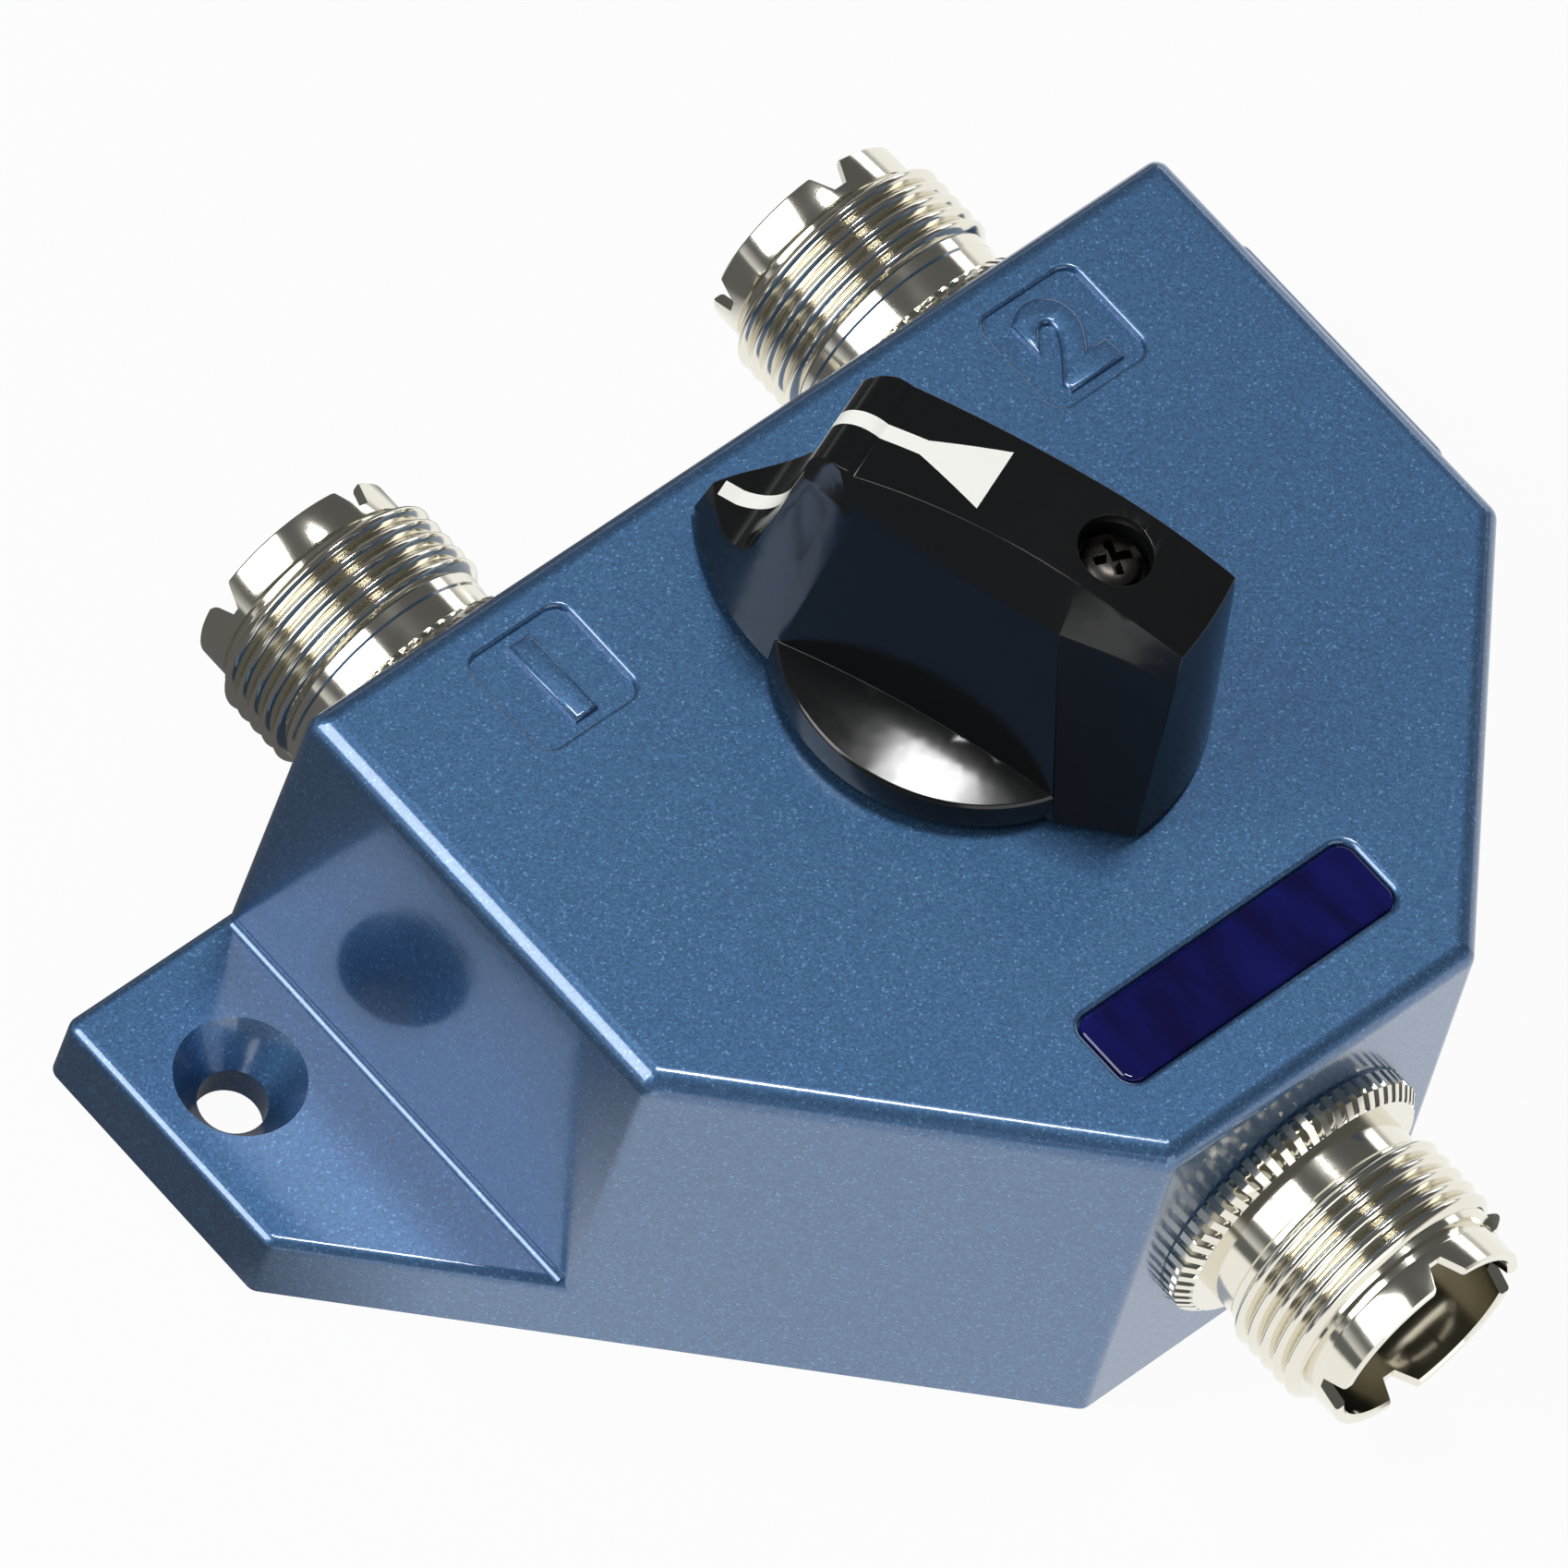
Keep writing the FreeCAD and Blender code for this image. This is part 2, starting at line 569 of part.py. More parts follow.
def shaft_bush():
    ceiling = HEIGHT - ROOF
    r = SHAFT_R + SHAFT_FIT
    return spin([(r, BUSH_LOW), (BUSH_R, BUSH_LOW), (BUSH_R, ceiling - BUSH_FLANGE_T),
                 (BUSH_FLANGE_R, ceiling - BUSH_FLANGE_T), (BUSH_FLANGE_R, ceiling), (BUSH_R, ceiling),
                 (BUSH_R, HEIGHT), (r, HEIGHT)])


def thrust_washer():
    r = SHAFT_R + SHAFT_FIT
    return cyl(WASHER_R, HEIGHT, WASHER_TOP).cut(cyl(r, HEIGHT - 1, WASHER_TOP + 1))


def knob_hub():
    """Brass insert: keyed boss on the shaft and the lug the offset screw pulls on."""
    boss = cyl(HUB_R, WASHER_TOP, HUB_TOP)
    lug = cyl(LUG_R, WASHER_TOP, HUB_TOP, SCREW_S, 0)
    web = box(SCREW_S, 0, -LUG_R, LUG_R, WASHER_TOP, HUB_TOP)
    return turned(boss.fuse([lug, web]).removeSplitter(), 90 + POINTER)


def bored_hub():
    hub = knob_hub().cut(keyed(SHAFT_R, WASHER_TOP - 1, SHAFT_TOP))
    tap = cyl(SCREW_R, SCREW_SEAT - SCREW_LEN - 0.5, HUB_TOP + 1, SCREW_S, 0)
    return hub.cut(turned(tap, 90 + POINTER))


def arc(a, b, c):
    return Part.Arc(a, b, c).toShape()


def bar_wire(z, crease, nose, tip, tail_crease, corner, tail_end):
    """Plan of the bar at height z: curved nose flanks, flat sides, soft tail facets."""
    def near(point):
        return V(point[0], point[1], z)

    def far(point):
        return V(point[0], -point[1], z)

    point = V(tip, 0, z)
    return Part.Wire([arc(near(crease), near(nose), point), arc(point, far(nose), far(crease)),
                      Part.makeLine(far(crease), far(tail_crease)),
                      Part.makeLine(far(tail_crease), far(corner)),
                      arc(far(corner), V(tail_end, 0, z), near(corner)),
                      Part.makeLine(near(corner), near(tail_crease)),
                      Part.makeLine(near(tail_crease), near(crease))])


def crown(s):
    """Height of the bar's top above the knob's underside, along the pointer."""
    return BAR_H - (s - CROWN_S) ** 2 / (2 * CROWN_R)


# the nose seen from the side, (along the pointer, above the knob's underside)
SCOOP = [(LIP_IN, LIP_H), (13.6, 4.15), (12.55, 6.4)]
SHOULDER = [(11.3, 13.8), (10.4, 16.3), (8.5, 17.28)]
BACK_S = -16.0               # the cutter's far end and top, clear of the bar
CUT_TOP = BAR_H + 0.85


def side_profile():
    """The bar seen from the side, cut across its full width."""
    def at(s, z):
        return V(s, 0, z)

    scoop = [at(s, h) for s, h in SCOOP]
    shoulder = [at(s, h) for s, h in SHOULDER]
    shoulder[-1] = at(SHOULDER[-1][0], crown(SHOULDER[-1][0]))
    tail = at(BACK_S, crown(BACK_S))
    nose = at(NOSE_S, 0)
    lip = at(LIP_S, LIP_H)
    foot = at(BACK_S, 0)
    edges = [Part.makeLine(nose, lip), Part.makeLine(lip, scoop[0]), arc(*scoop),
             Part.makeLine(scoop[-1], shoulder[0]), arc(*shoulder),
             arc(shoulder[-1], at(CROWN_S, BAR_H), tail),
             Part.makeLine(tail, foot), Part.makeLine(foot, nose)]
    face = Part.Face(Part.Wire(edges))
    face.translate(V(0, -SKIRT_R, 0))
    return face.extrude(V(0, 2 * SKIRT_R, 0))


def bar():
    """Pointer bar: widest at the skirt, a break line high on its sides, a pointed nose."""
    low = bar_wire(0, (9.0, 6.68), (13.85, 4.2), 17.6, (-9.6, 6.7), (-14.0, 4.8), -14.9)
    mid = bar_wire(BREAK_H, (7.5, 4.45), (12.2, 3.0), 14.8, (-5.85, 4.45), (-12.95, 3.55), -13.2)
    high = bar_wire(CUT_TOP, (10.9, 3.0), (11.9, 1.7), 12.3, (-5.0, 3.0), (-12.5, 2.9), -12.6)
    b = Part.makeLoft([low, mid], True, True).fuse(Part.makeLoft([mid, high], True, True))
    return b.common(side_profile())


def skirt():
    """Round skirt with a shallow domed top and a softened rim."""
    dome_r = (SKIRT_TOP_R ** 2 + SKIRT_DOME ** 2) / (2 * SKIRT_DOME)
    top = SKIRT_H + SKIRT_DOME
    s = spin([(0, 0), (SKIRT_R, 0), (SKIRT_TOP_R, SKIRT_H), (SKIRT_TOP_R, top), (0, top)])
    s = s.common(Part.makeSphere(dome_r, V(0, 0, top - dome_r)))
    return s.makeChamfer(SKIRT_EDGE, level(s, SKIRT_H))


def knob():
    k = bar().fuse(skirt()).removeSplitter()
    k.translate(V(0, 0, KNOB_LOW))
    ring = cyl(RECESS_OUT, KNOB_LOW - 1, KNOB_LOW + RECESS_DEPTH)
    ring = ring.cut(cyl(RECESS_IN, KNOB_LOW - 2, KNOB_LOW + RECESS_DEPTH + 1))
    bore = cyl(SCREW_BORE_R, SCREW_SEAT, BAR_TOP + 1, SCREW_S, 0)
    bore = bore.fuse(cyl(SCREW_R, HUB_TOP - 1, BAR_TOP + 1, SCREW_S, 0))
    k = k.cut([ring, bore])
    return turned(k, 90 + POINTER).cut(knob_hub())


def knob_screw():
    top = SCREW_SEAT + SCREW_HEAD_T
    head = cyl(SCREW_HEAD_R, SCREW_SEAT, top, SCREW_S, 0)
    head = head.makeChamfer(SCREW_HEAD_SOFT, level(head, top))
    shank = cyl(SCREW_R, SCREW_SEAT - SCREW_LEN, SCREW_SEAT, SCREW_S, 0)
    return turned(head.fuse(shank), 90 + POINTER)


os.makedirs("parts", exist_ok=True)
save("housing", housing())
save("bottom_cover", bottom_cover())
save("cover_screws", cover_screws())
save("name_badge", name_badge())
for port_name in NOTCH_TURN:
    save("socket_shell_" + port_name, port(socket_shell(), port_name))
    save("socket_nut_" + port_name, port(socket_nut(), port_name))
    save("socket_insulator_" + port_name, port(socket_insulator(), port_name))
    save("centre_contact_" + port_name, centre_contact(port_name))
save("contact_strip_a", mirrored(contact_strip_b()))
save("contact_strip_b", contact_strip_b())
save("contact_strip_common", contact_strip_common())
save("shaft_bush", shaft_bush())
save("thrust_washer", thrust_washer())
save("detent_spring", detent_spring())
save("detent_screws", detent_screws())
save("shaft", shaft())
save("retaining_clip", retaining_clip())
save("ground_arms", ground_arms())
save("rotor", rotor())
save("rotor_blade", rotor_blade())
save("rotor_screw", rotor_screw())
save("knob", knob())
save("knob_hub", bored_hub())
save("knob_screw", knob_screw())
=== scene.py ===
import math
import bpy
from mathutils import Matrix, Vector


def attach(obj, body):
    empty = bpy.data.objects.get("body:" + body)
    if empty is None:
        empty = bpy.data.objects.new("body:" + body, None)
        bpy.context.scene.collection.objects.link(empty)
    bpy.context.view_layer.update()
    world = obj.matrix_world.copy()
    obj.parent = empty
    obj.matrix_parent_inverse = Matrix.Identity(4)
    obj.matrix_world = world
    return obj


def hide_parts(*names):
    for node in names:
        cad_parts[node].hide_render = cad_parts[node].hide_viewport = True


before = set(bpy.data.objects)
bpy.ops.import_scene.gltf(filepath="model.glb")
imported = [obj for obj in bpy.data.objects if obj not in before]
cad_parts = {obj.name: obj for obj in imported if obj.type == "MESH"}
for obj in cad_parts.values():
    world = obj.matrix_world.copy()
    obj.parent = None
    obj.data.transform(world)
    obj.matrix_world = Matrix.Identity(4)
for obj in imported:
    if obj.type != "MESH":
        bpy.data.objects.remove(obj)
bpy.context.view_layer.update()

MM = 0.001

# The coaxial antenna switch: sizes in millimetres that its dressed pieces share with the solids.
# housing: the ears' top, the side wall there, the cove between them, the two port panels
EAR_H = 5.2
WALL_X = 34.01
ROOT_R = 0.45
ROOT_FRONT = -9.7
ROOT_LENGTH = 29.0
PANEL_X = 19.82
PANEL_Y = 12.95
PANEL_FLOOR = 27.2
NUMERAL_SIZE = 7.4
NUMERAL_SUNK = 0.3           # the numerals' feet stand this deep in the floor of the panel
# sockets: x and y of the seat, the way it faces along Y, and the turn of its rim's slots
PORTS = {"a": (-20.0, 19.76, 1, 25.0),
         "b": (20.0, 19.76, 1, 0.0),
         "common": (0.0, -32.1, -1, 0.0)}
SOCKET_Z = 13.5
SHELL_BACK = -5.6            # heights along a socket count from its seat on the wall
FLANGE_R = 9.15
FLANGE_T = 1.9
TEETH = 57                   # knurl round the flange
TOOTH_DEPTH = 0.45
NECK_R = 7.2
ROOT_OF_THREAD = 7.3
CREST_R = 7.9
PITCH = 1.058                # 24 turns to the inch
THREAD_LOW = 4.5             # middle of the first crest
THREAD_HIGH = 9.85           # middle of the last crest
RIM_R = 6.93
MOUTH_R = 6.2
RIM_END = 12.65
NOTCH_DEPTH = 1.5
# centre contacts, which end well behind the rim
CONTACT_R = 2.7
CONTACT_BORE_R = 2.0
CONTACT_SHOULDER = 0.8
CONTACT_END = 9.3
SLIT_DEPTH = 4.0
TAIL_R = 1.5
TAIL_BACK = -10.6
# knob: degrees from +Y to its pointer, towards port 1, and its screw's place along the pointer
POINTER = 20.0
SCREW_S = -6.37
SCREW_POINT = 31.05
SCREW_SEAT = 43.75
SCREW_TOP = SCREW_SEAT + 1.32
SCREW_HEAD_R = 1.85
# the white mark on it: a wedge that narrows forward to a line, which ends on the lip
MARK_BACK = 1.5
MARK_NECK = 6.0
MARK_FRONT = 16.4
MARK_LOW = 28.9
MARK_HALF_WEDGE = 2.25
MARK_HALF_LINE = 0.55
# bottom cover
COVER_SCREWS = [(26.0, 2.5), (-26.0, 2.5), (10.5, -20.5), (-10.5, -20.5)]
COVER_T = 1.6

WHITE = (1, 1, 1, 1)


# ------------------------------------------------------------------------------- camera, room
def aim_camera():
    data = bpy.data.cameras.new("camera")
    data.sensor_fit = "HORIZONTAL"
    data.sensor_width = 36.0
    data.lens = 498.03
    data.clip_start = 0.1
    data.clip_end = 20.0
    camera = bpy.data.objects.new("camera", data)
    bpy.context.scene.collection.objects.link(camera)
    right = Vector((0.73742, -0.65223, 0.17550))
    up = Vector((0.49679, 0.69980, 0.51330))
    place = Vector((-0.57706, -0.35885, 1.06187))
    turn = Matrix((right, up, right.cross(up))).transposed()
    camera.matrix_world = Matrix.Translation(place) @ turn.to_4x4()
    bpy.context.scene.camera = camera


def softbox(name, direction, distance, width, height, power):
    """Soft lamp in a direction from the object, aimed back at it; metres and watts."""
    data = bpy.data.lights.new(name, "AREA")
    data.shape = "RECTANGLE"
    data.size = width
    data.size_y = height
    data.energy = power
    lamp = bpy.data.objects.new(name, data)
    bpy.context.scene.collection.objects.link(lamp)
    way = Vector(direction).normalized()
    lamp.location = way * distance + Vector((0, 0, 0.02))
    lamp.rotation_euler = way.to_track_quat("Z", "Y").to_euler()


def light_room():
    softbox("left_softbox", (-0.68, 0.27, 0.68), 0.9, 0.45, 0.75, 6.6)
    softbox("overhead_light", (0.19, 0.10, 0.98), 0.9, 0.14, 0.14, 2.2)
    softbox("front_panel", (-0.10, -0.95, 0.30), 0.9, 0.9, 0.5, 1.8)
    softbox("right_strip", (0.93, 0.30, 0.28), 0.8, 0.8, 0.2, 0.8)
    world = bpy.data.worlds.new("studio")
    bpy.context.scene.world = world
    world.use_nodes = True
    tree = world.node_tree
    tree.nodes.clear()
    out = node(tree, "ShaderNodeOutputWorld")
    # mirrored, the backdrop is pale near the floor and the room above it is dark
    way = node(tree, "ShaderNodeTexCoord")
    split = node(tree, "ShaderNodeSeparateXYZ", {"Vector": way.outputs["Generated"]})
    level = node(tree, "ShaderNodeMapRange",
                 {"Value": split.outputs[2], "From Min": 0.0, "From Max": 0.2,
                  "To Min": 0.8, "To Max": 0.1})
    backdrop = node(tree, "ShaderNodeBackground", {"Color": WHITE, "Strength": level.outputs[0]})
    room = node(tree, "ShaderNodeBackground", {"Color": WHITE, "Strength": 0.14})
    white = node(tree, "ShaderNodeBackground", {"Color": WHITE, "Strength": 1.0})
    path = node(tree, "ShaderNodeLightPath")
    mirrored = node(tree, "ShaderNodeMath",
                    {0: path.outputs["Is Glossy Ray"], 1: path.outputs["Is Transmission Ray"]},
                    operation="MAXIMUM")
    unseen = node(tree, "ShaderNodeMixShader",
                  {0: mirrored.outputs[0], 1: room.outputs[0], 2: backdrop.outputs[0]})
    node(tree, "ShaderNodeMixShader",
         {0: path.outputs["Is Camera Ray"], 1: unseen.outputs[0], 2: white.outputs[0]},
         into=(out, "Surface"))
    bpy.context.scene.view_settings.view_transform = "Standard"


def lay_floor():
    """White table top, a hair below the base so that the two don't share a plane."""
    bpy.ops.object.select_all(action="DESELECT")
    bpy.ops.mesh.primitive_plane_add(size=8.0, location=(0, 0, -0.02 * MM))
    floor = bpy.context.object
    floor.name = "floor"
    mat = bpy.data.materials.new("white_table")
    mat.use_nodes = True
    tree = mat.node_tree
    tree.nodes.clear()
    out = node(tree, "ShaderNodeOutputMaterial")
    board = node(tree, "ShaderNodeBsdfDiffuse", {"Color": (0.6, 0.6, 0.6, 1)})
    path = node(tree, "ShaderNodeLightPath")
    # mirrored in the clear coat and the metal, the table is white, with painted shade beyond the
    # left ear: its glow fades there to stand in for the shade on that side
    place = node(tree, "ShaderNodeTexCoord")
    slant = node(tree, "ShaderNodeVectorMath", {0: place.outputs["Object"], 1: (-0.7, 0.9, 0)},
                 operation="DOT_PRODUCT")
    # painted shade: the glow that reflections see falls from 1 to 0.12 beyond the left ear
    painted_shade_fall = node(tree, "ShaderNodeMapRange",
                {"Value": slant.outputs["Value"], "From Min": 22 * MM, "From Max": 37 * MM,
                 "To Min": 1.0, "To Max": 0.12})
    level = node(tree, "ShaderNodeMath", {0: path.outputs["Is Camera Ray"], 1: painted_shade_fall.outputs[0]},
                 operation="MAXIMUM")
    glow = node(tree, "ShaderNodeEmission", {"Color": WHITE, "Strength": level.outputs[0]})
    mirrored = node(tree, "ShaderNodeMath",
                    {0: path.outputs["Is Glossy Ray"], 1: path.outputs["Is Transmission Ray"]},
                    operation="MAXIMUM")
    # straight on it is nearly white, and the rest of its share is board that takes the shadow
    seen = node(tree, "ShaderNodeMath", {0: path.outputs["Is Camera Ray"], 1: 0.95},
                operation="MULTIPLY")
    share = node(tree, "ShaderNodeMath", {0: mirrored.outputs[0], 1: seen.outputs[0]},
                 operation="MAXIMUM")
    node(tree, "ShaderNodeMixShader",
         {0: share.outputs[0], 1: board.outputs[0], 2: glow.outputs[0]}, into=(out, "Surface"))
    floor.data.materials.append(mat)


# ------------------------------------------------------------------------------------ finishes
def node(tree, kind, sets=None, into=None, **settings):
    """Add a node with its settings; sets gives its inputs a value or another node's output."""
    made = tree.nodes.new(kind)
    for key, value in settings.items():
        setattr(made, key, value)
    for key, value in (sets or {}).items():
        if isinstance(value, bpy.types.NodeSocket):
            tree.links.new(value, made.inputs[key])
        else:
            made.inputs[key].default_value = value
    if into:
        tree.links.new(made.outputs[0], into[0].inputs[into[1]])
    return made


def paint_hex(text):
    """sRGB hex to the linear colour that the shader takes."""
    parts = [int(text[i:i + 2], 16) / 255 for i in (1, 3, 5)]
    linear = [c / 12.92 if c <= 0.04045 else ((c + 0.055) / 1.055) ** 2.4 for c in parts]
    return tuple(linear) + (1.0,)


def new_finish(name, **sockets):
    mat = bpy.data.materials.new(name)
    mat.use_nodes = True
    tree = mat.node_tree
    tree.nodes.clear()
    out = node(tree, "ShaderNodeOutputMaterial")
    skin = node(tree, "ShaderNodeBsdfPrincipled", into=(out, "Surface"))
    for key, value in sockets.items():
        skin.inputs[key.replace("_", " ")].default_value = value
    place = node(tree, "ShaderNodeTexCoord")
    return mat, tree, skin, place.outputs["Object"]


def per_metre(mm):
    """Noise scale whose features are about mm wide."""
    return 1.0 / (mm * MM)


def fill_ramp(ramp, *stops):
    """Set the (place, hex colour) stops of a colour ramp, which starts with two."""
    for k, (place, colour) in enumerate(stops):
        stop = ramp.elements[k] if k < 2 else ramp.elements.new(place)
        stop.position = place
        stop.color = paint_hex(colour)


def blue_enamel():
    """Metallic stoving enamel sprayed on a zinc casting: fine bright flake under a clear gloss skin
    with slight orange peel."""
    mat, tree, skin, at = new_finish("blue_metallic_enamel", Metallic=0.88, Roughness=0.48,
                                     Coat_Weight=1.0, Coat_Roughness=0.12, Coat_IOR=1.7)
    # flake is some 0.05 mm across; drawn at 0.13 mm so that it shows
    flake = node(tree, "ShaderNodeTexVoronoi", {"Vector": at, "Scale": per_metre(0.13)})
    pick = node(tree, "ShaderNodeSeparateColor", {"Color": flake.outputs["Color"]})
    tone = node(tree, "ShaderNodeValToRGB", {"Fac": pick.outputs[0]}, into=(skin, "Base Color"))
    fill_ramp(tone.color_ramp, (0.0, "#3d6088"), (0.94, "#4d77a3"), (1.0, "#6c97c1"))
    peel = node(tree, "ShaderNodeTexNoise", {"Vector": at, "Scale": per_metre(1.1), "Detail": 1.0})
    grit = node(tree, "ShaderNodeTexNoise", {"Vector": at, "Scale": per_metre(0.2), "Detail": 1.0})
    node(tree, "ShaderNodeBump", {"Height": grit.outputs["Fac"], "Strength": 0.35,
                                  "Distance": 0.03 * MM}, into=(skin, "Normal"))
    node(tree, "ShaderNodeBump", {"Height": peel.outputs["Fac"], "Strength": 0.35,
                                  "Distance": 0.02 * MM}, into=(skin, "Coat Normal"))
    return mat


def bright_nickel():
    """Bright nickel plate on turned brass: a mirror with a faint warm tint and turning marks."""
    mat, tree, skin, at = new_finish("bright_nickel_plate", Metallic=1.0, Roughness=0.07,
                                     Base_Color=paint_hex("#eae6d9"))
    wear = node(tree, "ShaderNodeTexNoise", {"Vector": at, "Scale": per_metre(2.5), "Detail": 3.0})
    node(tree, "ShaderNodeMapRange", {"Value": wear.outputs["Fac"], "To Min": 0.07, "To Max": 0.16},
         into=(skin, "Roughness"))
    marks = node(tree, "ShaderNodeTexNoise", {"Vector": at, "Scale": per_metre(0.3), "Detail": 1.0})
    node(tree, "ShaderNodeBump", {"Height": marks.outputs["Fac"], "Strength": 0.12,
                                  "Distance": 0.01 * MM}, into=(skin, "Normal"))
    return mat


def black_knob_plastic():
    """Glossy moulded phenolic: near-black with a soft sheen and a white painted pointer mark."""
    mat, tree, skin, at = new_finish("black_moulded_plastic", Roughness=0.2, IOR=1.5)
    # millimetres along the pointer, across it and up
    turn = math.radians(90 + POINTER)
    spot = node(tree, "ShaderNodeMapping", {"Vector": at, "Rotation": (0, 0, -turn),
                                            "Scale": (1000, 1000, 1000)})
    split = node(tree, "ShaderNodeSeparateXYZ", {"Vector": spot.outputs[0]})
    along, across, high = split.outputs[0], split.outputs[1], split.outputs[2]
    side = node(tree, "ShaderNodeMath", {0: across}, operation="ABSOLUTE")
    mark_edge = node(tree, "ShaderNodeMapRange",
                     {"Value": along, "From Min": MARK_BACK, "From Max": MARK_NECK,
                      "To Min": MARK_HALF_WEDGE, "To Max": MARK_HALF_LINE})
    mask = None
    for more, less in [(mark_edge.outputs[0], side.outputs[0]), (along, MARK_BACK),
                       (high, MARK_LOW), (MARK_FRONT, along)]:
        part = node(tree, "ShaderNodeMath", {0: more, 1: less}, operation="GREATER_THAN")
        if mask:
            part = node(tree, "ShaderNodeMath", {0: mask.outputs[0], 1: part.outputs[0]},
                        operation="MULTIPLY")
        mask = part
    tint = node(tree, "ShaderNodeMix",
                {0: mask.outputs[0], 6: paint_hex("#111213"), 7: paint_hex("#f4f4ee")},
                data_type="RGBA")
    tree.links.new(tint.outputs[2], skin.inputs["Base Color"])
    fine = node(tree, "ShaderNodeTexNoise", {"Vector": at, "Scale": per_metre(0.8), "Detail": 2.0})
    node(tree, "ShaderNodeMapRange", {"Value": fine.outputs["Fac"], "To Min": 0.11, "To Max": 0.18},
         into=(skin, "Roughness"))
    return mat


def badge_resin():
    """Clear epoxy dome poured over a deep blue brushed foil."""
    mat, tree, skin, at = new_finish("domed_blue_resin", Roughness=0.6, Specular_IOR_Level=0.0,
                                     Coat_Weight=1.0, Coat_Roughness=0.03)
    brushed = node(tree, "ShaderNodeMapping", {"Vector": at, "Scale": (1.0, 0.25, 1.0)})
    wave = node(tree, "ShaderNodeTexNoise", {"Vector": brushed.outputs[0], "Scale": per_metre(2.0),
                                             "Detail": 3.0})
    tone = node(tree, "ShaderNodeValToRGB", {"Fac": wave.outputs["Fac"]}, into=(skin, "Base Color"))
    fill_ramp(tone.color_ramp, (0.35, "#0a083c"), (0.7, "#10145c"))
    node(tree, "ShaderNodeBump", {"Height": wave.outputs["Fac"], "Strength": 0.4,
                                  "Distance": 0.03 * MM}, into=(skin, "Coat Normal"))
    return mat


def plain_metal(name, colour, roughness, grain_mm):
    """Turned or rolled metal with fine tool marks."""
    mat, tree, skin, at = new_finish(name, Metallic=1.0, Base_Color=paint_hex(colour))
    grain = node(tree, "ShaderNodeTexNoise",
                 {"Vector": at, "Scale": per_metre(grain_mm), "Detail": 2.0})
    node(tree, "ShaderNodeMapRange", {"Value": grain.outputs["Fac"], "To Min": roughness * 0.7,
                                      "To Max": roughness * 1.3}, into=(skin, "Roughness"))
    node(tree, "ShaderNodeBump", {"Height": grain.outputs["Fac"], "Strength": 0.2,
                                  "Distance": 0.01 * MM}, into=(skin, "Normal"))
    return mat


def plain_plastic(name, colour, roughness):
    """Machined or moulded plastic with a slightly uneven skin."""
    mat, tree, skin, at = new_finish(name, Base_Color=paint_hex(colour), IOR=1.45)
    skin_noise = node(tree, "ShaderNodeTexNoise",
                      {"Vector": at, "Scale": per_metre(0.9), "Detail": 2.0})
    node(tree, "ShaderNodeMapRange", {"Value": skin_noise.outputs["Fac"], "To Min": roughness * 0.8,
                                      "To Max": roughness * 1.2}, into=(skin, "Roughness"))
    return mat


def dress(finish, *names):
    """Give CAD nodes their finish."""
    for name in names:
        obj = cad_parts[name]
        obj.data.materials.clear()
        obj.data.materials.append(finish)


# -------------------------------------------------------------------------------- workshop steps
def alone(obj):
    """Select only this piece, ready for an operator."""
    bpy.ops.object.select_all(action="DESELECT")
    obj.select_set(True)
    bpy.context.view_layer.objects.active = obj


def open_mesh(obj):
    alone(obj)
    bpy.ops.object.mode_set(mode="EDIT")


def close_mesh():
    bpy.ops.object.mode_set(mode="OBJECT")


def pick_points(obj, test):
    """In edit mode, select the points of the mesh that pass the test."""
    bpy.ops.mesh.select_mode(type="VERT")
    bpy.ops.mesh.select_all(action="DESELECT")
    close_mesh()
    for point in obj.data.vertices:
        point.select = test(point.co / MM)
    bpy.ops.object.mode_set(mode="EDIT")


def tidy_mesh(obj):
    """Merge doubled points and turn every face outwards."""
    open_mesh(obj)
    bpy.ops.mesh.select_all(action="SELECT")
    bpy.ops.mesh.remove_doubles(threshold=0.002 * MM)
    bpy.ops.mesh.normals_make_consistent(inside=False)
    close_mesh()


def soften(obj, degrees):
    """Shade smooth over edges flatter than this."""
    alone(obj)
    bpy.ops.object.shade_smooth_by_angle(angle=math.radians(degrees))


def turn_on_lathe(name, rings, steps, bored=False):
    """Piece turned about +Z through (radius, height) rings; a bored one closes on its first."""
    radius, height = rings[0]
    bpy.ops.object.select_all(action="DESELECT")
    bpy.ops.mesh.primitive_circle_add(vertices=steps, radius=radius * MM,
                                      location=(0, 0, height * MM),
                                      fill_type="NOTHING" if bored else "NGON")
    obj = bpy.context.object
    obj.name = name
    bpy.ops.object.transform_apply(location=True)
    open_mesh(obj)
    for next_radius, next_height in rings[1:] + (rings[:1] if bored else []):
        bpy.ops.mesh.extrude_region_move(
            TRANSFORM_OT_translate={"value": (0, 0, (next_height - height) * MM)})
        size = next_radius / radius
        bpy.ops.transform.resize(value=(size, size, 1), center_override=(0, 0, next_height * MM))
        radius, height = next_radius, next_height
    close_mesh()
    tidy_mesh(obj)
    return obj


def draw_section(name, corners, y):
    """Closed outline of (x, z) corners in the plane y, drawn from one point; edit mode stays on."""
    bpy.ops.object.select_all(action="DESELECT")
    start = (corners[0][0] * MM, y * MM, corners[0][1] * MM)
    bpy.ops.mesh.primitive_plane_add(size=0.1 * MM, location=start)
    obj = bpy.context.object
    obj.name = name
    bpy.ops.object.transform_apply(location=True)
    open_mesh(obj)
    bpy.ops.mesh.select_mode(type="VERT")
    bpy.ops.mesh.select_all(action="SELECT")
    bpy.ops.mesh.merge(type="CENTER")
    for here, there in zip(corners, corners[1:]):
        step = ((there[0] - here[0]) * MM, 0, (there[1] - here[1]) * MM)
        bpy.ops.mesh.extrude_region_move(TRANSFORM_OT_translate={"value": step})
    bpy.ops.mesh.select_all(action="SELECT")
    bpy.ops.mesh.edge_face_add()
    return obj


